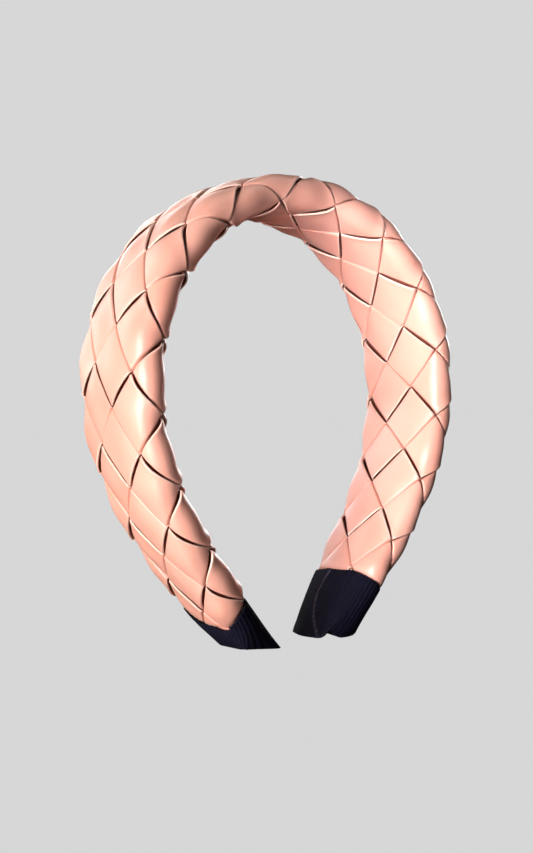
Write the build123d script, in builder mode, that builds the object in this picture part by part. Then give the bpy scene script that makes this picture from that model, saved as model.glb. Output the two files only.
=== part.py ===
from build123d import *
import os
from math import asin, cos, degrees, pi, radians, sin, sqrt

# Woven headband: a padded core, eight interlaced leather strips and a ribbon bound round each tip.
# Millimetres, +Z up. The origin is on the floor midway between the tips. X runs from the left tip to the
# right tip and Y runs from the front edge of the band to the back edge.

# Arch: half of the centreline as tangent arcs from the top down, then a straight run to the floor.
crown_radius = 60.5
crown_turn = 45.0
shoulder_radius = 65.2
shoulder_turn = 42.0
side_radius = 81.0
side_turn = 27.5
lower_radius = 132.0
lower_turn = 12.0
tip_run = 40.0

# Band, measured over the leather. Its section is an oval of four tangent arcs.
band_width = 40.6
band_thickness = 13.4
edge_roundness = 0.72

# Weave: as many strips wind one way as the other. A level is half a diamond along the band.
strips_each_way = 4
level_pitch = 12.36
round_start = 0.695
strip_width = 15.2
leather = 1.2
weave_gap = 0.3
pad_crown = 0.6
lap_left = 0.42
lap_right = 0.90
front_lead = 3.3
inner_lead = 0.9
outer_crowding = 1.5
hold_power = 6

# Core inside the weave.
core_gap = 1.25
core_tuck_levels = 0.7
core_foot_gap = 0.4

# Ribbon bound round each tip.
ribbon_length_left = 16.0
ribbon_length_right = 22.0
ribbon_wall = 1.2
ribbon_gap = 0.9
tuck_start = 0.70
tuck_end = 0.16
foot_rounding = 9.0
foot_overrun = 8.0

ARCH = (  # radius, turn in degrees
    (crown_radius, crown_turn),
    (shoulder_radius, shoulder_turn),
    (side_radius, side_turn),
    (lower_radius, lower_turn),
)
OUTLINE = (  # share of the half length, share of the band's width, share of its thickness
    (0.00, 1.00, 1.00),
    (0.25, 1.01, 0.97),
    (0.45, 1.02, 0.93),
    (0.60, 0.98, 0.92),
    (0.72, 0.91, 0.94),
    (0.84, 0.82, 0.97),
    (0.93, 0.76, 1.00),
    (1.00, 0.70, 0.96),
)


def walk(length):
    """Distance out, distance down and turn at a length along the half arch."""
    out, down, turned = 0.0, 0.0, 0.0
    for radius, turn in ARCH:
        angle = min(radians(turn), length / radius)
        out += radius * (sin(turned + angle) - sin(turned))
        down += radius * (cos(turned) - cos(turned + angle))
        turned += angle
        length -= radius * angle
        if length <= 0:
            return out, down, turned
    return out + length * cos(turned), down + length * sin(turned), turned


half_length = sum(radius * radians(turn) for radius, turn in ARCH) + tip_run
arch_height = walk(half_length)[1]


def station(s):
    """Centre, outward direction and forward direction of the band at s, positive to the right of the top."""
    out, down, turned = walk(abs(s))
    side = 1 if s >= 0 else -1
    centre = Vector(side * out, 0, arch_height - down)
    outward = Vector(side * sin(turned), 0, cos(turned))
    forward = Vector(cos(turned), 0, -side * sin(turned))
    return centre, outward, forward


def outline(s):
    """Half width and half thickness of the band at s."""
    share = min(abs(s) / half_length, 1.0)
    row = max(i for i in range(len(OUTLINE) - 1) if OUTLINE[i][0] <= share)
    (s0, w0, t0), (s1, w1, t1) = OUTLINE[row], OUTLINE[row + 1]
    blend = (share - s0) / (s1 - s0)
    return band_width / 2 * (w0 + (w1 - w0) * blend), band_thickness / 2 * (t0 + (t1 - t0) * blend)


def oval_arcs(half_width, half_thickness):
    """Edge radius, face radius and the angle at which the two meet."""
    edge = edge_roundness * half_thickness
    run = half_width - edge
    face = (run**2 + half_thickness**2 - edge**2) / (2 * (half_thickness - edge))
    return edge, face, asin(run / (face - edge))


def oval_quarter(half_width, half_thickness):
    """Length of a quarter of the oval."""
    edge, face, meet = oval_arcs(half_width, half_thickness)
    return face * meet + edge * (pi / 2 - meet)


def oval_point(half_width, half_thickness, p):
    """Place and direction, each outward and frontward, at a length p round the oval from its outer middle."""
    edge, face, meet = oval_arcs(half_width, half_thickness)
    quarter = oval_quarter(half_width, half_thickness)
    p = p % (4 * quarter)
    inner = quarter < p < 3 * quarter
    back = p > 2 * quarter
    q = abs(2 * quarter - p) if inner else min(p, 4 * quarter - p)
    if q <= face * meet:
        angle = q / face
        n = face * cos(angle) - (face - half_thickness)
        y = face * sin(angle)
    else:
        angle = meet + (q - face * meet) / edge
        n = edge * cos(angle)
        y = half_width - edge + edge * sin(angle)
    up = -1 if inner else 1
    front = -1 if back else 1
    return up * n, front * y, up * cos(angle), front * sin(angle)


# The levels are spread evenly between the strips' ends, which lie a little way under the two ribbons.
leather_shown = 2 * half_length - ribbon_length_left - ribbon_length_right
levels = round(leather_shown / level_pitch + lap_left + lap_right)
level_run = leather_shown / (levels - lap_left - lap_right)
top_level = lap_left + (half_length - ribbon_length_left) / level_run
half_diamond = oval_quarter(band_width / 2, band_thickness / 2) * 4 / strips_each_way / 2
strip_pitch = 2 * level_run * half_diamond / sqrt(level_run**2 + half_diamond**2)
strip_half = strip_width / strip_pitch / 2


def tuck(level):
    """How far the leather is drawn in at a level, which is by the ribbon's wall and gap once it is under it."""
    shown = min(level - lap_left, levels - lap_right - level)
    share = (tuck_start - shown) / (tuck_start - tuck_end)
    return (ribbon_wall + ribbon_gap) * min(max(share, 0), 1)


def weave_point(level, turn, depth):
    """A point of the weave: levels from the left end, diamonds round the band, depth under its outline."""
    s = (level - top_level) * level_run
    half_width, half_thickness = (size - tuck(level) for size in outline(s))
    hold = max(1 - (abs(s) / half_length) ** hold_power, 0)
    turn = turn + round_start
    p = turn * oval_quarter(half_width, half_thickness) * 4 / strips_each_way
    p -= outer_crowding * hold * sin(2 * pi * turn / strips_each_way)
    n, y, n_way, y_way = oval_point(half_width, half_thickness, p)
    s -= hold * (front_lead * y / half_width + inner_lead * (1 - n / half_thickness))
    centre, outward, forward = station(s)
    return centre + outward * (n - depth * n_way) + Vector(0, -1, 0) * (y - depth * y_way)


def strip_solid(number, lean):
    """One strip: flat over every other crossing and under the next, closed all round. lean is 1 or -1."""
    rows = [(level, level + step) for level in range(levels + 1) for step in (-strip_half, 0, strip_half)]
    columns = (-strip_half, 0, strip_half)
    over = 0 if lean == 1 else 1
    outer, inner = {}, {}
    for i, (level, along) in enumerate(rows):
        for j, across in enumerate(columns):
            if -1e-6 <= along + across <= levels + 1e-6:
                depth = 0 if level % 2 == over else leather + weave_gap
                middle = along == level and across == 0 and 0 < level < levels
                crown = pad_crown if middle and level % 2 == over else 0
                place = (along + across, number + 0.5 + lean * (along - across) / 2)
                outer[i, j] = weave_point(*place, depth - crown)
                inner[i, j] = weave_point(*place, depth + leather)
    corners = []
    for i in range(len(rows) - 1):
        for j in range(len(columns) - 1):
            a, b, c, d = (i, j), (i + 1, j), (i + 1, j + 1), (i, j + 1)
            if a in outer and c in outer:
                corners += [t for t in ((a, b, c), (a, c, d)) if all(key in outer for key in t)]
            else:
                corners += [t for t in ((a, b, d), (b, c, d)) if all(key in outer for key in t)]
    rims = {(t[k], t[(k + 1) % 3]) for t in corners for k in range(3)}
    rims = [(a, b) for a, b in rims if (b, a) not in rims]
    facets = [[outer[key] for key in t] for t in corners]
    facets += [[inner[key] for key in reversed(t)] for t in corners]
    for a, b in rims:
        facets += [[outer[b], outer[a], inner[a]], [outer[b], inner[a], inner[b]]]
    return Solid(Shell([Face(Wire.make_polygon(facet)) for facet in facets]))


def across_band(s):
    """The plane square to the band at s: its x runs to the front edge and its z along the band."""
    centre, outward, forward = station(s)
    return Plane(origin=centre, x_dir=(0, -1, 0), z_dir=forward)


def oval_section(s, half_width, half_thickness):
    """The section at s as a face: an oval of four tangent arcs."""
    edge, face, meet = oval_arcs(half_width, half_thickness)
    lift = face - half_thickness
    turn = degrees(meet)
    with BuildSketch(across_band(s)) as section:
        with BuildLine():
            CenterArc((half_width - edge, 0), edge, turn - 90, 180 - 2 * turn)
            CenterArc((0, -lift), face, 90 - turn, 2 * turn)
            CenterArc((edge - half_width, 0), edge, 90 + turn, 180 - 2 * turn)
            CenterArc((0, lift), face, 270 - turn, 2 * turn)
        make_face()
    return section.sketch


def tip_form(side, length, wall):
    """A tip's form, drawn in by a wall: ovals down through the floor, cut flat and rounded on the outer side."""
    stops = (half_length - length - wall, half_length - length / 2, half_length + foot_overrun)
    centre, outward, forward = station(side * half_length)
    heel = centre + outward * (outline(half_length)[1] - wall)
    heel += forward * ((heel.Z - wall) / sin(walk(half_length)[2])) * side
    rise = heel - forward * (side * 3 * length)
    with BuildPart() as tip:
        loft(sections=[oval_section(side * s, *(size - wall for size in outline(s))) for s in stops])
        with BuildSketch(Plane.XZ) as side_view:
            with BuildLine():
                Polyline((0, wall), (heel.X, wall), (rise.X, rise.Z), (0, rise.Z), close=True)
            make_face()
            fillet(side_view.vertices().sort_by_distance((heel.X, 0, wall))[0], foot_rounding - wall)
        extrude(amount=band_width, both=True, mode=Mode.INTERSECT)
    return tip.part


with BuildPart() as padded_core:
    drop = 2 * leather + weave_gap + core_gap
    sections = []
    for level in range(-1, levels + 2):
        s = (level - top_level) * level_run
        inset = drop + tuck(level + (core_tuck_levels if s > 0 else -core_tuck_levels))
        sections.append(oval_section(s, *(size - inset for size in outline(s))))
    loft(sections=sections, ruled=True)
    split(bisect_by=Plane.XY.offset(ribbon_wall + core_foot_gap), keep=Keep.TOP)

with BuildPart() as ribbon_end_left:
    add(tip_form(-1, ribbon_length_left, 0))
    add(tip_form(-1, ribbon_length_left, ribbon_wall), mode=Mode.SUBTRACT)

with BuildPart() as ribbon_end_right:
    add(tip_form(1, ribbon_length_right, 0))
    add(tip_form(1, ribbon_length_right, ribbon_wall), mode=Mode.SUBTRACT)

pieces = {
    "padded_core": padded_core,
    "ribbon_end_right": ribbon_end_right,
    "ribbon_end_left": ribbon_end_left,
}
for index in range(2 * strips_each_way):
    with BuildPart() as strip:
        add(strip_solid(index // 2, 1 if index % 2 == 0 else -1))
    pieces[f"leather_strip_{index + 1}"] = strip

os.makedirs("parts", exist_ok=True)
for name, piece in pieces.items():
    piece.part.label = name
    export_step(piece.part, f"parts/{name}.step")
    print(f"{name}: {piece.part.volume:.0f} mm3")
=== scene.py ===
# %% [markdown]
# # A woven leather headband
# The real headband is a padded arch with eight flat strips of folded faux leather plaited round it, and a
# ribbed blue-black ribbon bound round each tip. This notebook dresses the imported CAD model. The frame comes
# first, and nothing here moves or resizes it: every piece is made where the CAD piece it stands for already
# is.

# %% Load the frame and keep its box
import math

import bpy
import numpy as np
from mathutils import Matrix, Vector


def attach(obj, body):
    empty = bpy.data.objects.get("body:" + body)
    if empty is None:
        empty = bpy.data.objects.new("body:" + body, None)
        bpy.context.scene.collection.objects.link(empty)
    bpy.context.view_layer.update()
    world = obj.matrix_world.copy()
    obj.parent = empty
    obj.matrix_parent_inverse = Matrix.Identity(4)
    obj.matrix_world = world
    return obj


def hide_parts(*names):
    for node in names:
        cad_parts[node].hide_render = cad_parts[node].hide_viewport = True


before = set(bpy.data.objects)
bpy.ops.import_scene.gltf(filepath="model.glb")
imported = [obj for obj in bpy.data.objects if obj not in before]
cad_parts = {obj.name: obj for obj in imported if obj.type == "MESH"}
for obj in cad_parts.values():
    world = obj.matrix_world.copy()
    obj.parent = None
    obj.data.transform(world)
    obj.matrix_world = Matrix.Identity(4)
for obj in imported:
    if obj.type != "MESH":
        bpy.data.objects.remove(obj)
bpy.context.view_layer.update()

# %% [markdown]
# ## Sizes
# The arch, the section and the weave follow the same driving dimensions as the CAD model. They are written
# in millimetres, because leather and ribbon are measured in millimetres, and turned into metres at the end.

# %% Driving dimensions
MM = 0.001
ARCH = (  # radius in mm and turn in degrees of each arc, from the top of the arch down
    (60.5, 45.0),
    (65.2, 42.0),
    (81.0, 27.5),
    (132.0, 12.0),
)
TIP_RUN = 40.0  # the straight run below the last arc
BAND_WIDTH = 40.6
BAND_THICKNESS = 13.4
EDGE_ROUNDNESS = 0.72  # radius of the band's edges, as a share of half its thickness
OUTLINE = (  # share of the half length, share of the width, share of the thickness
    (0.00, 1.00, 1.00),
    (0.25, 1.01, 0.97),
    (0.45, 1.02, 0.93),
    (0.60, 0.98, 0.92),
    (0.72, 0.91, 0.94),
    (0.84, 0.82, 0.97),
    (0.93, 0.76, 1.00),
    (1.00, 0.70, 0.96),
)
RIBBON_LEFT = 16.0  # how far up each tip the ribbon reaches
RIBBON_RIGHT = 22.0
HALF_LENGTH = sum(radius * math.radians(turn) for radius, turn in ARCH) + TIP_RUN
print(f"half of the band is {HALF_LENGTH:.1f} mm long")

# %% [markdown]
# ## The band's own coordinates
# Wrapping strips round an arch is easiest in the band's own coordinates: how far along the arch, how far
# round the oval section, and how far out from it. Modelling each diamond by hand would lose the strips'
# even pull, so a few small functions turn those coordinates into places in space, for whole arrays of
# points at once.

# %% Arch
def walk(length):
    """Distance out, distance down and turn at a length along half of the arch."""
    out = down = turned = np.zeros_like(length)
    left = length
    for radius, turn in ARCH:
        angle = np.minimum(math.radians(turn), left / radius)
        out = out + radius * (np.sin(turned + angle) - np.sin(turned))
        down = down + radius * (np.cos(turned) - np.cos(turned + angle))
        turned = turned + angle
        left = left - radius * angle
    return out + left * np.cos(turned), down + left * np.sin(turned), turned


_, tip_depth, tip_turn = walk(np.array([HALF_LENGTH]))
ARCH_HEIGHT = float(tip_depth[0])
TIP_SLOPE = float(tip_turn[0])
print(f"the arch is {ARCH_HEIGHT:.1f} mm high, turned {math.degrees(TIP_SLOPE):.1f} degrees at its tips")


def station(s):
    """Centre, outward and forward direction of the band at s mm from the top, positive to the right."""
    out, down, turned = walk(np.abs(s))
    side = np.where(s >= 0, 1.0, -1.0)
    zero = np.zeros_like(out)
    centre = np.stack([side * out, zero, ARCH_HEIGHT - down], -1)
    outward = np.stack([side * np.sin(turned), zero, np.cos(turned)], -1)
    forward = np.stack([np.cos(turned), zero, -side * np.sin(turned)], -1)
    return centre, outward, forward


# %% Section
def outline(s):
    """Half width and half thickness of the band at s."""
    share, width, thickness = (np.array(column) for column in zip(*OUTLINE))
    at = np.clip(np.abs(s) / HALF_LENGTH, 0, 1)
    half_width = BAND_WIDTH / 2 * np.interp(at, share, width)
    half_thickness = BAND_THICKNESS / 2 * np.interp(at, share, thickness)
    return half_width, half_thickness


def oval(half_width, half_thickness, round_share):
    """Outward and frontward place and direction on an oval of four arcs, and the length of a quarter of it.
    round_share runs from the outer middle, 0, over the front edge, 0.25, and the inner middle, 0.5, to the
    back edge, 0.75."""
    edge = EDGE_ROUNDNESS * half_thickness
    run = half_width - edge
    face = (run**2 + half_thickness**2 - edge**2) / (2 * (half_thickness - edge))
    meet = np.arcsin(run / (face - edge))
    quarter = face * meet + edge * (math.pi / 2 - meet)
    p = (round_share % 1.0) * 4 * quarter
    inner = (p > quarter) & (p < 3 * quarter)
    q = np.where(inner, np.abs(2 * quarter - p), np.minimum(p, 4 * quarter - p))
    on_face = q <= face * meet
    angle = np.where(on_face, q / face, meet + (q - face * meet) / edge)
    n = np.where(on_face, face * np.cos(angle) - (face - half_thickness), edge * np.cos(angle))
    y = np.where(on_face, face * np.sin(angle), run + edge * np.sin(angle))
    up = np.where(inner, -1.0, 1.0)
    front = np.where(p > 2 * quarter, -1.0, 1.0)
    return up * n, front * y, up * np.cos(angle), front * np.sin(angle), quarter


def place(s, n, y):
    """The point in space that is n mm outward and y mm frontward of the arch's centre at s."""
    centre, outward, forward = station(s)
    return centre + outward * n[:, None] - np.array([0, 1.0, 0]) * y[:, None]


# %% [markdown]
# ## The camera
# The camera was fitted to the photograph: it stands a little above the floor, 36 degrees round to the left,
# and near enough for the left limb to look larger than the right one. It is turned by its matrix and not by
# three angles, because a photograph that is tilted by a degree or two is easier to match that way.

# %% Camera
IMAGE_WIDTH, IMAGE_HEIGHT = 533, 853
CAMERA_AZIMUTH, CAMERA_ELEVATION, CAMERA_ROLL = -36.25, 1.43, -1.64
CAMERA_DISTANCE = 452.0
AIM_HEIGHT = 74.8
FOCAL_PIXELS = 1290.0  # focal length in pixels of the photograph
CENTRE_COLUMN = 277.3  # pixel column that the lens points at
SENSOR = 36.0
NEAREST_SEEN = 10.0  # nothing nearer to the camera is drawn


def direction(azimuth, elevation):
    """Unit vector from the headband to what stands round it. Azimuth 0 is the front, -90 the left."""
    a, e = math.radians(azimuth), math.radians(elevation)
    return Vector((math.sin(a) * math.cos(e), -math.cos(a) * math.cos(e), math.sin(e)))


def add_camera():
    """Adds the camera that took the photograph."""
    azimuth, roll = math.radians(CAMERA_AZIMUTH), math.radians(CAMERA_ROLL)
    back = direction(CAMERA_AZIMUTH, CAMERA_ELEVATION)
    right = Vector((math.cos(azimuth), math.sin(azimuth), 0))
    up = back.cross(right)
    turned_right = right * math.cos(roll) + up * math.sin(roll)
    turned_up = up * math.cos(roll) - right * math.sin(roll)
    bpy.ops.object.select_all(action="DESELECT")
    bpy.ops.object.camera_add()
    camera = bpy.context.object
    camera.name = "photo_camera"
    turn = Matrix((turned_right, turned_up, back)).transposed().to_4x4()
    aim = Vector((0, 0, AIM_HEIGHT * MM))
    camera.matrix_world = Matrix.Translation(aim + back * CAMERA_DISTANCE * MM) @ turn
    camera.data.sensor_width = SENSOR
    camera.data.lens = FOCAL_PIXELS * SENSOR / IMAGE_HEIGHT
    camera.data.shift_x = -(CENTRE_COLUMN - IMAGE_WIDTH / 2) / IMAGE_HEIGHT
    camera.data.clip_start = NEAREST_SEEN * MM
    bpy.context.scene.camera = camera
    return camera


camera = add_camera()
print(f"lens {camera.data.lens:.1f} mm at {camera.location.length:.2f} m")

# %% [markdown]
# ## Helpers for materials
# Colours are written as the hex values that a designer would pick, and Blender works in linear light, so
# one function converts them. Another adds a node with its settings and links, to keep each material
# readable.

# %% Material helpers
COLOUR_A, COLOUR_B, COLOUR_OUT = 6, 7, 2  # sockets of a Mix node that mixes two colours


def hex_colour(code):
    """Linear colour, with alpha 1, of an sRGB hex value."""
    parts = [int(code[i:i + 2], 16) / 255 for i in (1, 3, 5)]
    return tuple(v / 12.92 if v <= 0.04045 else ((v + 0.055) / 1.055) ** 2.4 for v in parts) + (1.0,)


def node(tree, kind, inputs=None, stops=(), **settings):
    """Adds a node. inputs maps a socket's name or number to a value or to another node's output. stops, for
    a colour ramp, holds a position and a hex colour each, in rising order."""
    made = tree.nodes.new(kind)
    for name, value in settings.items():
        setattr(made, name, value)
    for key, value in (inputs or {}).items():
        if isinstance(value, bpy.types.NodeSocket):
            tree.links.new(value, made.inputs[key])
        else:
            made.inputs[key].default_value = value
    for number, (position, code) in enumerate(stops):
        elements = made.color_ramp.elements
        element = elements[number] if number < len(elements) else elements.new(position)
        element.position = position
        element.color = hex_colour(code)
    return made


def new_material(name):
    """An empty material and its node tree."""
    material = bpy.data.materials.new(name)
    material.use_nodes = True
    material.node_tree.nodes.clear()
    return material, material.node_tree


# %% [markdown]
# ## Nappa faux leather
# The strips are polyurethane coated cloth, embossed with a fine nappa grain and folded so that the raw
# edges lie inside. The coating is a satin plastic: IOR 1.5, roughness near 0.4, with a faint grain that
# shows only where the light grazes it. The fold's crest is stretched, so it is a little paler, and a
# highlight is painted along it as well. Shade is painted too, in dark brown, on the end that dives into a
# slit, on what lies under another strip and on a strip's hidden inner side, and only faintly at a shut
# row. A picture of leather could give all this, but noise and the mesh's own attributes follow each strip
# and stay sharp at any size.

# %% Leather material
GRAIN_MM, GRAIN_DEPTH = 0.55, 0.08  # the embossed grain of nappa
CREASE_MM, CREASE_DEPTH = 2.2, 0.4  # the wrinkles that handling leaves
CREASE_STRETCH = 0.35  # wrinkles run across a strip more than along it
BLUSH_MM = 26.0  # patches that are a touch paler and less shiny


def leather_material():
    """Embossed polyurethane coating: a soft satin glow, warm painted shade in the slits and under other
    strips, and a pale line along each fold that is a painted highlight on a little paler, stretched coating.
    """
    material, tree = new_material("peach_nappa_faux_leather")
    where = node(tree, "ShaderNodeTexCoord").outputs["Object"]
    strip_uv = node(tree, "ShaderNodeUVMap", uv_map="UVMap").outputs["UV"]
    # Strength of the painted highlight along each fold's crest
    crest_highlight = node(tree, "ShaderNodeAttribute", attribute_name="crest_highlight").outputs["Fac"]
    # Strength of the painted shade in the slits, under other strips and on the hidden inner side
    slit_shade = node(tree, "ShaderNodeAttribute", attribute_name="slit_shade").outputs["Fac"]
    blush = node(tree, "ShaderNodeTexNoise", {"Vector": where, "Scale": 1 / (BLUSH_MM * MM), "Detail": 2.0})
    tint = node(tree, "ShaderNodeValToRGB", {"Fac": blush.outputs["Fac"]},
                stops=((0.25, "#E69C86"), (0.55, "#ECA791"), (0.8, "#F0B19C")))
    # The fold's crest: a little paler where the coating stretches, with a painted highlight on top of that
    pale = node(tree, "ShaderNodeMix",
                {"Factor": crest_highlight, COLOUR_A: tint.outputs["Color"], COLOUR_B: hex_colour("#FAD3BF")},
                data_type="RGBA")
    # Painted shade: dark brown where a strip dives into a slit or lies under another one
    shade = node(tree, "ShaderNodeMix",
                 {"Factor": slit_shade, COLOUR_A: pale.outputs[COLOUR_OUT], COLOUR_B: hex_colour("#7A4030")},
                 data_type="RGBA")
    grain = node(tree, "ShaderNodeTexVoronoi", {"Vector": where, "Scale": 1 / (GRAIN_MM * MM)},
                 feature="SMOOTH_F1")
    stretch = node(tree, "ShaderNodeMapping", {"Vector": strip_uv, "Scale": (1.0, CREASE_STRETCH, 1.0)})
    crease = node(tree, "ShaderNodeTexNoise",
                  {"Vector": stretch.outputs[0], "Scale": 1 / CREASE_MM, "Detail": 3.0})
    fine = node(tree, "ShaderNodeBump",
                {"Height": grain.outputs["Distance"], "Strength": 0.12, "Distance": GRAIN_DEPTH * MM})
    bump = node(tree, "ShaderNodeBump",
                {"Height": crease.outputs["Fac"], "Normal": fine.outputs[0], "Strength": 0.25,
                 "Distance": CREASE_DEPTH * MM})
    rough = node(tree, "ShaderNodeMapRange",
                 {"Value": blush.outputs["Fac"], "To Min": 0.36, "To Max": 0.46})
    skin = node(tree, "ShaderNodeBsdfPrincipled",
                {"Base Color": shade.outputs[COLOUR_OUT], "Roughness": rough.outputs[0],
                 "Normal": bump.outputs[0], "IOR": 1.5, "Specular IOR Level": 0.55,
                 "Sheen Weight": 0.05, "Sheen Roughness": 0.5})
    node(tree, "ShaderNodeOutputMaterial", {"Surface": skin.outputs[0]})
    return material


leather_skin = leather_material()
print(leather_skin.name, "has", len(leather_skin.node_tree.nodes), "nodes")

# %% [markdown]
# ## Ribbed ribbon and core cover
# The tips are bound in grosgrain, a ribbon with a heavy rib, in a blue-black that the light hardly lifts.
# The ribs are modelled, so its material only adds the threads between them. The cover of the core is a matt
# black knit that shows in the slits. Both are matt cloth with threads that cross, so one function makes
# both.

# %% Fabric materials
THREAD_MM, THREAD_DEPTH = 0.45, 0.1  # a little coarser than the real threads, so that they show
FUZZ_MM = 1.25  # uneven dye along the threads
WAVE_AT_ONE = 0.314  # length of one wave of a Wave texture whose scale is 1


def fabric_material(name, dark, light, threads):
    """A matt cloth whose threads cross at THREAD_MM. threads is how strongly they press in, from 0 to 1.
    Where the point attribute hem is 1, a greyish line is painted along the ribbon's hem."""
    material, tree = new_material(name)
    uv = node(tree, "ShaderNodeUVMap", uv_map="UVMap").outputs["UV"]
    waves = [
        node(tree, "ShaderNodeTexWave", {"Vector": uv, "Scale": WAVE_AT_ONE / THREAD_MM, "Distortion": 0.6},
             bands_direction=way).outputs["Fac"]
        for way in ("X", "Y")
    ]
    weave = node(tree, "ShaderNodeMath", {0: waves[0], 1: waves[1]}, operation="MULTIPLY").outputs[0]
    fuzz = node(tree, "ShaderNodeTexNoise", {"Vector": uv, "Scale": 1 / FUZZ_MM, "Detail": 4.0})
    shade = node(tree, "ShaderNodeMath", {0: weave, 1: fuzz.outputs["Fac"]}, operation="MULTIPLY")
    colour = node(tree, "ShaderNodeValToRGB", {"Fac": shade.outputs[0]}, stops=((0.0, dark), (0.6, light)))
    # A greyish line painted along the hem of the last lap
    hem = node(tree, "ShaderNodeAttribute", attribute_name="hem").outputs["Fac"]
    edged = node(tree, "ShaderNodeMix",
                 {"Factor": hem, COLOUR_A: colour.outputs["Color"], COLOUR_B: hex_colour("#5A545C")},
                 data_type="RGBA")
    bump = node(tree, "ShaderNodeBump",
                {"Height": weave, "Strength": threads, "Distance": THREAD_DEPTH * MM})
    cloth = node(tree, "ShaderNodeBsdfPrincipled",
                 {"Base Color": edged.outputs[COLOUR_OUT], "Roughness": 0.82, "Normal": bump.outputs[0],
                  "Specular IOR Level": 0.12, "Sheen Weight": 0.02, "Sheen Roughness": 0.4})
    node(tree, "ShaderNodeOutputMaterial", {"Surface": cloth.outputs[0]})
    return material


# Woven polyester grosgrain: matt, nearly black, bluish where the light catches a rib
grosgrain = fabric_material("navy_black_grosgrain", "#06050F", "#1A1733", 0.25)
# Knitted cotton cover: swallows the light, so that the slits look deep
core_knit = fabric_material("black_knit_cover", "#050406", "#151218", 0.4)
print("threads cross every", THREAD_MM, "mm in", grosgrain.name, "and", core_knit.name)

# %% [markdown]
# ## Making a piece from a flat grid
# Cloth and faux leather are cut flat, then folded and wrapped, and Blender's extrude and bend can't wind a
# sheet over and under seven others. So each piece starts as a flat grid, and a function carries its points
# to their places. Where a piece is a tube, its two long edges meet and are merged, and its ends are filled,
# so that no face is missing and all of them look outward.

# %% Grid helpers
MERGE_MM = 0.01


def flat_grid(name, columns, rows):
    """A flat grid object, and its points' two coordinates from 0 to 1."""
    bpy.ops.object.select_all(action="DESELECT")
    bpy.ops.mesh.primitive_grid_add(x_subdivisions=columns, y_subdivisions=rows, size=1.0, calc_uvs=True)
    piece = bpy.context.object
    piece.name = name
    flat = np.empty(len(piece.data.vertices) * 3)
    piece.data.vertices.foreach_get("co", flat)
    flat = flat.reshape(-1, 3)
    return piece, flat[:, 0] + 0.5, flat[:, 1] + 0.5


def carry(piece, points, uv_mm):
    """Moves the grid's points to their places, and lays out its UV map. Both are given in millimetres."""
    piece.data.vertices.foreach_set("co", (points * MM).ravel())
    corners = np.empty(len(piece.data.loops), dtype=np.int32)
    piece.data.loops.foreach_get("vertex_index", corners)
    piece.data.uv_layers["UVMap"].data.foreach_set("uv", uv_mm[corners].ravel())
    piece.data.update()


def paint(piece, name, values):
    """Stores one number for each point, for a material to read."""
    attribute = piece.data.attributes.new(name, "FLOAT", "POINT")
    attribute.data.foreach_set("value", values)


# %% Finishing helpers
def close_up(piece, fill):
    """Merges the edges that meet, fills what is left open where asked, and turns all faces outward."""
    bpy.context.view_layer.objects.active = piece
    bpy.ops.object.mode_set(mode="EDIT")
    bpy.ops.mesh.select_all(action="SELECT")
    bpy.ops.mesh.remove_doubles(threshold=MERGE_MM * MM)
    if fill:
        bpy.ops.mesh.fill_holes(sides=0)
    bpy.ops.mesh.normals_make_consistent(inside=False)
    bpy.ops.object.mode_set(mode="OBJECT")


def finish_piece(piece, material, node_name):
    """Gives a piece its material and smooth shading, hangs it on the root body and hides the CAD node it
    stands for.
    """
    piece.data.materials.clear()
    piece.data.materials.append(material)
    bpy.ops.object.select_all(action="DESELECT")
    piece.select_set(True)
    bpy.context.view_layer.objects.active = piece
    bpy.ops.object.shade_smooth()
    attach(piece, "root")
    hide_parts(node_name)


# %% Two soft curves
def smooth_step(x):
    """0 below 0, 1 above 1, and a soft curve between them."""
    x = np.clip(x, 0, 1)
    return x * x * (3 - 2 * x)


def hill(share, middle, width):
    """A hill of height 1 round one place of the band, where shares 0 and 1 are the same place."""
    return np.exp(-(((share - middle + 0.5) % 1.0 - 0.5) / width) ** 2)


# %% [markdown]
# ## Where the ribbon begins and ends
# The ribbon's upper edge isn't level. On the left tip it dips on the outer face and climbs over both edges,
# and on the right tip it is nearly straight. The leather has to dive under that edge, so both pieces ask
# the same function where it is. At the floor the outer side of each tip is rounded like a heel, and again
# the leather inside has to follow, so both pieces use the same function for that too.

# %% Upper edge and heel
EDGE_LEFT = (  # rise in mm, middle and width round the band of each hill of the ribbon's upper edge
    (-2.2, 0.10, 0.08),
    (3.6, 0.32, 0.13),
    (3.5, 0.82, 0.11),
)
EDGE_RIGHT = (
    (1.3, 0.37, 0.10),
    (-0.8, 0.12, 0.10),
)
HEEL_RADIUS = 9.0


def ribbon_top(side, round_share):
    """Length of the ribbon, from the tip up, at a place round the band. side is negative on the left."""
    left, right = (
        length + sum(rise * hill(round_share, middle, width) for rise, middle, width in hills)
        for length, hills in ((RIBBON_LEFT, EDGE_LEFT), (RIBBON_RIGHT, EDGE_RIGHT))
    )
    return np.where(side > 0, right, left)


def round_the_heel(points, side, beyond):
    """Rounds the outer side of the sole with an arc, seen from the front, and keeps all above the floor.
    beyond is how far a point stands out from the plain ribbon, so that ribs keep their shape."""
    s = np.array([side * HALF_LENGTH])
    centre, outward, forward = (v[0] for v in station(s))
    heel = centre + outward * outline(s)[1][0]
    heel = heel + forward * side * heel[2] / math.sin(TIP_SLOPE)
    middle_x = heel[0] - side * HEEL_RADIUS * math.tan((math.pi - TIP_SLOPE) / 2)
    across = (points[:, 0] - middle_x) * side
    low = HEEL_RADIUS - points[:, 2]
    reach = np.hypot(across, low)
    radius = HEEL_RADIUS + beyond
    corner = (across > 0) & (low > 0) & (reach > radius)
    pull = np.where(corner, radius / np.maximum(reach, 1e-6), 1.0)
    points[:, 0] = middle_x + side * across * pull
    points[:, 2] = np.maximum(HEEL_RADIUS - low * pull, 0)
    return points


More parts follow.
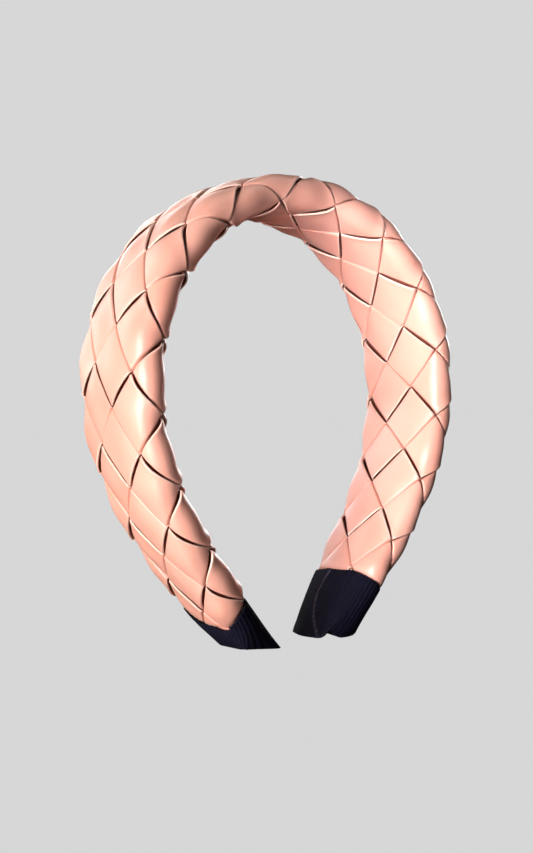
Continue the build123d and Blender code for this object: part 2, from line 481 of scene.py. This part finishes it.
# %% [markdown]
# ## The weave
# Four strips wind one way and four the other, over one and under the next. A level is half a diamond's
# height along the arch, and a turn counts the diamonds round the band. The weave is pulled a little to the
# left over the front edge and on the inner side, and its diamonds crowd to the outer face, as in the
# photograph. Near the ribbon's edge the strips are pressed flat and slip under it, and what is hidden there
# is squeezed up short, so that nothing shows through the ribbon.

# %% Weave values
STRIPS_EACH_WAY = 4
LEVEL_PITCH = 12.36  # mm from level to level, before a whole number of levels is fitted in
LAP_LEFT, LAP_RIGHT = 0.42, 0.90  # levels hidden under each ribbon
ROUND_START = 0.695  # turns by which the weave is rolled round the band
FRONT_LEAD, INNER_LEAD = 3.3, 0.9  # mm pulled to the left, at the front edge and halfway to the inside
OUTER_CROWDING, HOLD_POWER = 1.5, 6  # mm crowded to the outer face, and how late the tips hold this back
SHOWN = 2 * HALF_LENGTH - RIBBON_LEFT - RIBBON_RIGHT
LEVELS = round(SHOWN / LEVEL_PITCH + LAP_LEFT + LAP_RIGHT)
LEVEL_RUN = SHOWN / (LEVELS - LAP_LEFT - LAP_RIGHT)
TOP_LEVEL = LAP_LEFT + (HALF_LENGTH - RIBBON_LEFT) / LEVEL_RUN
CELL_MM = 17.2  # side of a diamond
LEATHER = 1.15  # thickness of a folded strip
LAYER = 1.35  # depth from the upper layer to the lower one
TUCK, TUCK_RUN = 2.3, 3.0  # how deep the strips slip under the ribbon, and over what length
TUCK_EARLY, CORE_TUCK_EARLY = 0.5, 2.0  # runs before the ribbon's edge where strips and core turn in
HIDDEN_FROM, HIDDEN_RUN = 1.2, 1.3  # mm under the ribbon where strips are squeezed up, and into what length
PRESSED_RUN, PRESSED_RISE = 6.0, 0.15  # length over which folds are pressed, and what they may still rise
print(f"{LEVELS} levels of {LEVEL_RUN:.2f} mm, the top of the arch at level {TOP_LEVEL:.2f}")


# %% Place of a point of the weave
def share_round(turn):
    """How far round the band a turn of the weave lies, as a share."""
    return (turn + ROUND_START) / STRIPS_EACH_WAY


def weave_place(level, turn, height):
    """The place of a point of the weave. height is measured up from the outer skin of the upper layer."""
    s = (level - TOP_LEVEL) * LEVEL_RUN
    half_width, half_thickness = outline(s)
    hold = 1 - np.clip(np.abs(s) / HALF_LENGTH, 0, 1) ** HOLD_POWER
    share = share_round(turn)
    quarter = oval(half_width, half_thickness, share)[4]
    share = share - OUTER_CROWDING * hold * np.sin(2 * math.pi * share) / (4 * quarter)
    n, y, n_way, y_way, _ = oval(half_width, half_thickness, share)
    s = s - hold * (FRONT_LEAD * y / half_width + INNER_LEAD * (1 - n / half_thickness))
    ribbon = HALF_LENGTH - ribbon_top(s, share % 1.0)
    hidden = np.maximum(np.abs(s) - ribbon - HIDDEN_FROM, 0)
    s = s - np.sign(s) * (hidden - HIDDEN_RUN * (1 - np.exp(-hidden / HIDDEN_RUN)))
    below = np.abs(s) - ribbon
    pressed = smooth_step(below / PRESSED_RUN + 1) * np.maximum(height - PRESSED_RISE, 0)
    rise = height - pressed - TUCK * smooth_step(below / TUCK_RUN + TUCK_EARLY)
    return place(s, n + rise * n_way, y + rise * y_way)


# %% [markdown]
# ## How a strip rises and dives
# On top of a crossing a strip is nearly flat, with a little cushion. Towards a shut row it dives at the
# last moment, so that only a crease shows. Towards an open row it dives sooner, and its folded edge curls
# up instead of lying down, most of all where it bends round the band's two edges. Open and shut rows take
# turns, and they swap over at the top of the arch. On the outer side of the right half the folds are slack,
# so there the shut rows open a little too, as they do over the front edge of the left half. Inside the
# right half the open slits gape towards the back edge. Each diamond also leans a little its own way.

# %% Open and shut rows
SLACK_SHARE = 1.5  # how far slack folds open, 1 being an open row
SLACK_FROM, SLACK_RUN = 0.25, 0.5  # cosine of the way round where the outer side turns slack, and its run
FRONT_SLACK_AT, FRONT_SLACK_WIDTH = 0.33, 0.09


def openness(row, turn):
    """0 where the boundary above a row is shut, 1 where it is open, more where slack folds stand off."""
    is_open = np.where(row < TOP_LEVEL, row % 2 == 1, row % 2 == 0)
    share = share_round(turn)
    outer = smooth_step((np.cos(2 * math.pi * share) - SLACK_FROM) / SLACK_RUN)
    front = hill(share, FRONT_SLACK_AT, FRONT_SLACK_WIDTH)
    return np.maximum(is_open, SLACK_SHARE * np.where(row > TOP_LEVEL, outer, front))


# %% Rise and dive
FLAT_LIFT, BEND_LIFT = 0.36, 1.5  # mm that a folded edge curls up, on a face and over an edge of the band
FLAT_CUSHION, BEND_CUSHION = 0.25, 1.45  # mm that the middle of a diamond stands up, in the same places
CURL_POWER = 4  # how near to its edge a fold curls up
LIFT_FADE, FADE_POWER = 0.75, 3  # how much of the curl is lost at the diamond's ends, and how near to them
LEAN_MM = 0.22
LEAN_ALONG, LEAN_ACROSS = (12.99, 78.2), (39.3, 11.1)  # unrelated angles: no two diamonds lean alike
OPEN_DIVE, SHUT_DIVE = 0.905, 0.945  # share of the half diamond at which a strip starts to dive
GAPE, GAPE_AT, GAPE_WIDTH, GAPE_LEVELS = 0.15, 0.73, 0.09, 3
CREST_FROM, CREST_RUN = 0.925, 0.04  # share of the half width at which the painted highlight on a fold's crest begins
SHUT_SHADE, SHADE_LAG = 0.08, 0.4  # strength of the painted shade at a shut row, and how late in the dive the painted shade sets in


def rise_and_dive(along, across, turn, over, number):
    """Height of a strip, and the strength of its painted crest highlight and of its painted shade, at each of
    its points.
    """
    cell = np.round(along)
    x, c = np.abs(2 * (along - cell)), np.abs(2 * across)
    on_top = cell % 2 == over
    share = share_round(turn)
    end_open = openness(np.where(along >= cell, cell, cell - 1), turn)
    edge_open = openness(np.where(across >= 0, cell, cell - 1), turn)
    gape = GAPE * hill(share, GAPE_AT, GAPE_WIDTH) * (cell > TOP_LEVEL - GAPE_LEVELS)
    start = SHUT_DIVE + (OPEN_DIVE - gape - SHUT_DIVE) * end_open
    run = (x - start) / (1 - start)
    dive = smooth_step(run)
    bend = np.abs(np.sin(2 * math.pi * share))
    lift = (FLAT_LIFT + (BEND_LIFT - FLAT_LIFT) * bend) * edge_open * c**CURL_POWER
    lift = lift * (1 - LIFT_FADE * x**FADE_POWER)
    cushion = FLAT_CUSHION + (BEND_CUSHION - FLAT_CUSHION) * bend
    cushion = cushion * np.cos(math.pi * x / 2) * np.cos(math.pi * np.minimum(c, 1) / 2)
    lean_along = np.sin(cell * LEAN_ALONG[0] + number * LEAN_ALONG[1]) * 2 * (along - cell)
    lean_across = np.sin(cell * LEAN_ACROSS[0] + number * LEAN_ACROSS[1]) * 2 * across
    uneven = LEAN_MM * (lean_along + lean_across)
    height = np.where(on_top, (lift + cushion + uneven) * (1 - dive) - LAYER * dive, -LAYER)
    # Painted highlight on the crest of a fold that stands over an open row
    crest_highlight = on_top * edge_open * smooth_step((c - CREST_FROM) / CREST_RUN) * (1 - dive)
    # Painted shade: faint at a shut row, full at an open one, and full wherever the strip lies under another
    darkness = SHUT_SHADE + (1 - SHUT_SHADE) * end_open
    slit_shade = np.where(on_top, darkness * smooth_step((1 + SHADE_LAG) * run - SHADE_LAG), 1.0)
    return height, np.minimum(crest_highlight, 1), np.minimum(slit_shade, 1)


# %% [markdown]
# ## Folding and winding the strips
# Each strip is a flat tube: the sheet is folded round so that its raw edges meet on the hidden side. A ring
# of points describes that section, a flat outer side, a round fold, the inner side and the second fold, and
# the grid carries it along the strip. Points are packed closer near each dive, where the strip bends most.
# A strip's width wanders by a tenth or two of a millimetre, as hand plaiting does. Curves with a bevelled
# profile could wind like this too, but they twist on their own, and the grid keeps every fold where it
# belongs.

# %% Section of a strip
STRIP_HALF = 0.494  # half the width of a strip, in diamonds
OUTER_STEPS, FOLD_STEPS, INNER_STEPS = 16, 6, 4
CELL_STEPS = 24
END_TRIM = -0.1  # levels cut off at each end: below 0, the strip runs a little past the last level
WANDER, WANDER_ANGLES = 0.006, (1.7, 2.1)  # in diamonds, and the angles from one level or strip to the next
PACKING = 1.8
CREST_SIDE, SHADED_SIDE = -0.4, -0.3  # heights on the section that part the painted crest highlight from the hidden side, which is painted in shade
LEATHER_IN_HEEL = -1.25  # how far the leather stays inside the ribbon's heel


def pack(x):
    """Moves evenly spaced values from -1 to 1 closer to both ends."""
    return np.sign(x) * (1 - (1 - np.abs(x)) ** PACKING)


def folded_section():
    """Across, from -1 to 1, the reach of the round fold beyond it and the height, for a ring of points."""
    flat = pack(np.linspace(-1, 1, OUTER_STEPS + 1))
    turn = np.linspace(math.pi / 2, -math.pi / 2, FOLD_STEPS + 1)[1:]
    back = np.linspace(1, -1, INNER_STEPS + 1)[1:]
    side = np.concatenate([flat, np.ones(FOLD_STEPS), back, -np.ones(FOLD_STEPS)])
    bulge = np.concatenate([flat * 0, np.cos(turn), back * 0, -np.cos(turn)])
    height = np.concatenate([flat * 0 + 1, np.sin(turn), back * 0 - 1, -np.sin(turn)])
    return side, bulge, height


# %% Strips
def leather_strip(number, lean):
    """Makes one strip. lean is 1 for those that wind one way and -1 for those that wind the other."""
    count = number * 2 + (1 if lean == 1 else 2)
    side, bulge, section_height = folded_section()
    ring = len(side) - 1
    piece, u, v = flat_grid(f"folded_strip_{count}", CELL_STEPS * LEVELS, ring)
    index = np.round(v * ring).astype(int)
    even = END_TRIM + u * (LEVELS - 2 * END_TRIM)
    along = np.round(even) + pack(2 * (even - np.round(even))) / 2
    radius = LEATHER / 2
    wander = WANDER * (1 + np.sin(along * WANDER_ANGLES[0] + number * WANDER_ANGLES[1] + lean))
    half = STRIP_HALF - wander - radius / CELL_MM
    across = half * side[index] + bulge[index] * radius / CELL_MM
    turn = number + 0.5 + lean * (along - across) / 2
    height, crest_highlight, slit_shade = rise_and_dive(along, across, turn, 0 if lean == 1 else 1, count)
    height = height - radius + radius * section_height[index]
    points = weave_place(along + across, turn, height)
    for tip in (-1, 1):
        points = round_the_heel(points, tip, LEATHER_IN_HEEL)
    carry(piece, points, np.stack([along * CELL_MM, index * 1.0], -1))
    # Painted highlight on each fold's crest
    paint(piece, "crest_highlight", crest_highlight * (section_height[index] > CREST_SIDE))
    # Painted shade in the slits, under other strips and on each strip's hidden inner side
    paint(piece, "slit_shade", np.maximum(slit_shade, (section_height[index] < SHADED_SIDE) * 1.0))
    close_up(piece, fill=True)
    finish_piece(piece, leather_skin, f"leather_strip_{count}")
    return piece


strips = [leather_strip(number, lean) for number in range(STRIPS_EACH_WAY) for lean in (1, -1)]
print("faces in a strip:", len(strips[0].data.polygons))

# %% [markdown]
# ## The padded core
# Under the weave lies the padded hoop. Only its dark cover shows, as thin lines between the strips, so it
# is one smooth oval tube with soft lengthwise puckers, closed at both ends. A torus would be a quick start,
# but the band gets narrower towards its tips, so the tube comes from the band's own section. It is drawn in
# under the ribbon, where the strips slip down.

# %% Core
CORE_ROUND_STEPS, CORE_LENGTH_STEPS = 72, 180
CORE_DROP = 4.1  # how far the cover lies under the outer skin of the weave
CORE_END = 6.0  # how far it stops short of the tips
CORE_CLOSING = 0.01  # share of its half length over which each end closes
PUCKERS, PUCKER_MM = 12, 0.12
CORE_UV = (80.0, 390.0)  # its girth and length in mm, near enough for the scale of the knit


def core():
    """Makes the cover of the padded core."""
    piece, u, v = flat_grid("core_cover", CORE_ROUND_STEPS, CORE_LENGTH_STEPS)
    s = (2 * v - 1) * (HALF_LENGTH - CORE_END)
    ribbon = HALF_LENGTH - np.where(s > 0, RIBBON_RIGHT, RIBBON_LEFT)
    inset = CORE_DROP + TUCK * smooth_step((np.abs(s) - ribbon) / TUCK_RUN + CORE_TUCK_EARLY)
    half_width, half_thickness = (size - inset for size in outline(s))
    at_end = np.clip((np.abs(2 * v - 1) - 1) / CORE_CLOSING + 1, 0, 1)
    closing = np.sqrt(1 - at_end**2)
    n, y, n_way, y_way, _ = oval(half_width, half_thickness, u)
    pucker = PUCKER_MM * np.sin(2 * math.pi * PUCKERS * u)
    points = place(s, (n + pucker * n_way) * closing, (y + pucker * y_way) * closing)
    carry(piece, points, np.stack([u, v], -1) * CORE_UV)
    close_up(piece, fill=True)
    finish_piece(piece, core_knit, "padded_core")
    return piece


core_piece = core()
print("faces in the core's cover:", len(core_piece.data.polygons))

# %% [markdown]
# ## The ribbon ends
# The ribbon is wound round the tip and folded flat under it, so the tip is a ribbed sleeve with a sole. The
# last lap ends in a slanting hem. The folds leave a small notch above the floor on the right tip, and lift
# the front of the sole a little on the left one. Towards the floor the winding squeezes the section, makes
# it more square and, on the left tip, skews it. The ribs run along the limb. Bump could draw them, but each
# is a real ridge in the mesh, so that the outline is ribbed too.

# %% Ribs, lap and section of the ribbon
RIB_PITCH, RIB_DEPTH, RIB_SHARPNESS = 1.4, 0.28, 0.7
LAP_STEP, LAP_EDGE = 0.45, 0.012  # height of the last lap in mm, and share round the band of its step
LAP_BOW, LAP_SLANT = 0.08, 0.16  # how far round the band the hem bows and slants
HEM_WIDTH, HEM_STRENGTH = 0.006, 0.8
SQUARE_LEAST = 0.6  # the nearest to the middle that a point counts as when the section is squared
SKEW_FROM = 0.6  # where the skew begins, in half thicknesses on the inner side of the middle


def ribs_and_lap(u, down, ribs, lap_at):
    """How far the ribs and the last lap stand out from the plain ribbon, and where the hem shows."""
    rib = RIB_DEPTH * (np.abs(np.sin(math.pi * ribs * u)) ** RIB_SHARPNESS - 1)
    winding = (u - lap_at - LAP_BOW * np.sin(math.pi * down) + LAP_SLANT * down) % 1.0
    lap = LAP_STEP * (1 - winding) * smooth_step(winding / LAP_EDGE)
    hem = HEM_STRENGTH * smooth_step(1 - np.abs(winding - HEM_WIDTH) / HEM_WIDTH)
    return rib + lap, hem


def pressed_section(n, y, half_width, half_thickness, down, squeeze, square, skew):
    """The section squeezed at the back and the front, squared and skewed, most of all at the floor."""
    back_squeeze, front_squeeze = squeeze
    y = y * (1 - np.where(y < 0, back_squeeze, front_squeeze) * down**2)
    box = np.maximum(np.abs(n) / half_thickness, np.abs(y) / half_width)
    corner = np.clip(box, SQUARE_LEAST, 1.0) ** (-square * down**2)
    outer_part = smooth_step(n / half_thickness + SKEW_FROM)
    return n * corner + skew * y * outer_part * down**2, y * corner


# %% Ribbon ends
RIB_STEPS = 6  # columns of the grid in each rib
SLEEVE_ROWS, SOLE_ROWS = 34, 8
RIBBON_CLOTH = 0.4  # thickness of the ribbon
RIBBON_CLEAR = 0.25  # how far it stands off the band's outline
FRAY = ((0.20, 3, 0.2), (0.12, 7, 0.0))  # mm, waves round the band and phase of the uneven upper edge
SOLE_MIDDLE = 0.4  # height of the middle of the sole
NOTCH_POWER = 4  # how soon the lift in the sole fades up the sleeve
UV_LENGTH = 1.5  # length of the grid with its sole, in lengths of the ribbon


def ribbon_end(name, side, lap_at, notch, squeeze, square, skew):
    """Makes one ribbon end. notch holds the height in mm, place and width of the lift in the sole."""
    length = RIBBON_RIGHT if side > 0 else RIBBON_LEFT
    upper_section = outline(np.array([HALF_LENGTH - length]))
    perimeter = 4 * float(oval(*upper_section, np.zeros(1))[4][0])
    ribs = round(perimeter / RIB_PITCH)
    rows = SLEEVE_ROWS + SOLE_ROWS
    piece, u, v = flat_grid(name, ribs * RIB_STEPS, rows)
    down = np.clip(v * rows / SLEEVE_ROWS, 0, 1)
    under = np.clip((v * rows - SLEEVE_ROWS) / SOLE_ROWS, 0, 1)
    fray = sum(depth * np.sin(2 * math.pi * (waves * u + phase)) for depth, waves, phase in FRAY)
    start = HALF_LENGTH - ribbon_top(side, u) + fray
    half_width, half_thickness = outline(start + (HALF_LENGTH - start) * down)
    n, y, n_way, y_way, _ = oval(half_width, half_thickness, u)
    beyond, hem = ribs_and_lap(u, down, ribs, lap_at)
    beyond = beyond * (1 - under)
    n, y = n + (beyond + RIBBON_CLEAR) * n_way, y + (beyond + RIBBON_CLEAR) * y_way
    n, y = pressed_section(n, y, half_width, half_thickness, down, squeeze, square, skew)
    tip_height = place(np.full_like(n, side * HALF_LENGTH), n, y)[:, 2]
    to_floor = HALF_LENGTH + tip_height / math.sin(TIP_SLOPE)
    points = place(side * (start + (to_floor - start) * down), n, y)
    notch_height, notch_at, notch_width = notch
    points[:, 2] += notch_height * hill(u, notch_at, notch_width) * down**NOTCH_POWER
    middle = points[down >= 1].mean(0)
    middle[2] = SOLE_MIDDLE
    points = points + (middle - points) * under[:, None]
    points = round_the_heel(points, side, beyond)
    carry(piece, points, np.stack([u * perimeter, v * length * UV_LENGTH], -1))
    paint(piece, "hem", hem * (1 - under))
    close_up(piece, fill=False)
    thicken(piece)
    finish_piece(piece, grosgrain, name.replace("ribbon_wrap", "ribbon_end"))
    return piece


def thicken(piece):
    """Gives the ribbon its thickness, inward, and keeps that above the floor."""
    cloth = piece.modifiers.new("cloth", "SOLIDIFY")
    cloth.thickness = RIBBON_CLOTH * MM
    cloth.offset = -1.0
    bpy.ops.object.modifier_apply(modifier=cloth.name)
    for vertex in piece.data.vertices:
        vertex.co.z = max(vertex.co.z, 0.0)


ribbons = [
    ribbon_end("ribbon_wrap_left", -1, lap_at=0.62, notch=(1.7, 0.22, 0.06),
               squeeze=(0.10, 0.0), square=0.45, skew=0.34),
    ribbon_end("ribbon_wrap_right", 1, lap_at=0.53, notch=(3.0, 0.315, 0.028),
               squeeze=(0.40, 0.14), square=0.36, skew=0.0),
]
print("faces in a ribbon end:", [len(ribbon.data.polygons) for ribbon in ribbons])

# %% [markdown]
# ## Floor
# The photograph has an even pale grey ground with no shadow. A white floor under strong lamps would never
# be that even, so this one glows by itself and hardly takes any light, and it and the backdrop are kept out
# of the light that bounces on to the leather.

# %% Floor and backdrop
GROUND = "#D7D7D7"
GLOW = 0.995
FLOOR_SIZE = 8.0  # metres


def add_floor():
    """Adds the floor, which rides on nothing."""
    bpy.ops.object.select_all(action="DESELECT")
    bpy.ops.mesh.primitive_plane_add(size=FLOOR_SIZE)
    floor = bpy.context.object
    floor.name = "floor"
    # Printed card that glows: even grey with no shadow
    material, tree = new_material("pale_grey_card")
    card = node(tree, "ShaderNodeBsdfDiffuse", {"Color": hex_colour("#030303")})
    glow = node(tree, "ShaderNodeEmission", {"Color": hex_colour(GROUND), "Strength": GLOW})
    both = node(tree, "ShaderNodeAddShader", {0: card.outputs[0], 1: glow.outputs[0]})
    node(tree, "ShaderNodeOutputMaterial", {"Surface": both.outputs[0]})
    floor.data.materials.append(material)
    floor.visible_diffuse = False
    floor.visible_glossy = False
    return floor


floor = add_floor()
world = bpy.data.worlds.new("studio")
world.use_nodes = True
bpy.context.scene.world = world
world.node_tree.nodes["Background"].inputs["Color"].default_value = hex_colour(GROUND)
world.node_tree.nodes["Background"].inputs["Strength"].default_value = 1.0
world.cycles_visibility.diffuse = False
world.cycles_visibility.glossy = False
bpy.context.scene.view_settings.view_transform = "Standard"
print("ground and backdrop", GROUND)

# %% [markdown]
# ## Light
# The light comes mostly from the left and a little from the front, so the faces that look left are bright
# and those that look right or down fall off quickly. The softboxes on the right and behind light what the
# photograph doesn't show: they are there for whoever turns the headband round. A weak one lifts the top of
# the arch. The left half would shade the inner side of the right half, so two narrow spots reach past it.

# %% Lights
PANEL_AIM = (0, 0, 0.085)
PANELS = (  # name, azimuth and elevation in degrees, distance and size in metres, watts
    ("key_softbox", -83, 0, 2.4, 0.80, 78.0),
    ("front_softbox", -24, 4, 1.2, 0.30, 0.6),
    ("right_softbox", 158, 15, 2.4, 1.00, 24.0),
    ("right_fill", 118, 12, 2.4, 0.80, 32.0),
    ("back_softbox", -160, 20, 2.4, 1.40, 20.0),
    ("top_softbox", 60, 75, 2.0, 1.20, 8.5),
    ("bounce_card", -78, -15, 0.5, 0.30, 2.7),
)
SPOTS = (  # name, azimuth and elevation, distance and aim in metres, beam in degrees, watts, lamp radius
    ("inner_lamp", -64, 0, 0.8, (0.095, 0, 0.080), 15.0, 27.0, 0.03),
    ("arch_lamp", -46, -14, 0.5, (0.042, 0, 0.132), 11.5, 11.0, 0.02),
)
SPOT_COLOUR = (1.0, 1.0, 1.1)  # a little bluer than the softboxes
SPOT_BLEND = 0.6
SPOT_NARROWING = 0.62  # width of a spot's beam, as a share of its height


def add_light(kind, name, azimuth, elevation, distance, aim, watts):
    """Adds a lamp that faces a point and that the camera doesn't see."""
    aim = Vector(aim)
    place_m = aim + distance * direction(azimuth, elevation)
    bpy.ops.object.select_all(action="DESELECT")
    bpy.ops.object.light_add(type=kind, location=place_m)
    light = bpy.context.object
    light.name = name
    light.data.energy = watts
    light.rotation_euler = (aim - place_m).to_track_quat("-Z", "Y").to_euler()
    light.visible_camera = False
    return light


for name, azimuth, elevation, distance, size, watts in PANELS:
    panel = add_light("AREA", name, azimuth, elevation, distance, PANEL_AIM, watts)
    panel.data.size = size
for name, azimuth, elevation, distance, aim, beam, watts, radius in SPOTS:
    spot = add_light("SPOT", name, azimuth, elevation, distance, aim, watts)
    spot.data.spot_size = math.radians(beam)
    spot.data.spot_blend = SPOT_BLEND
    spot.data.color = SPOT_COLOUR
    spot.data.shadow_soft_size = radius
    spot.scale.x = SPOT_NARROWING
print(len(PANELS), "softboxes and", len(SPOTS), "spots")
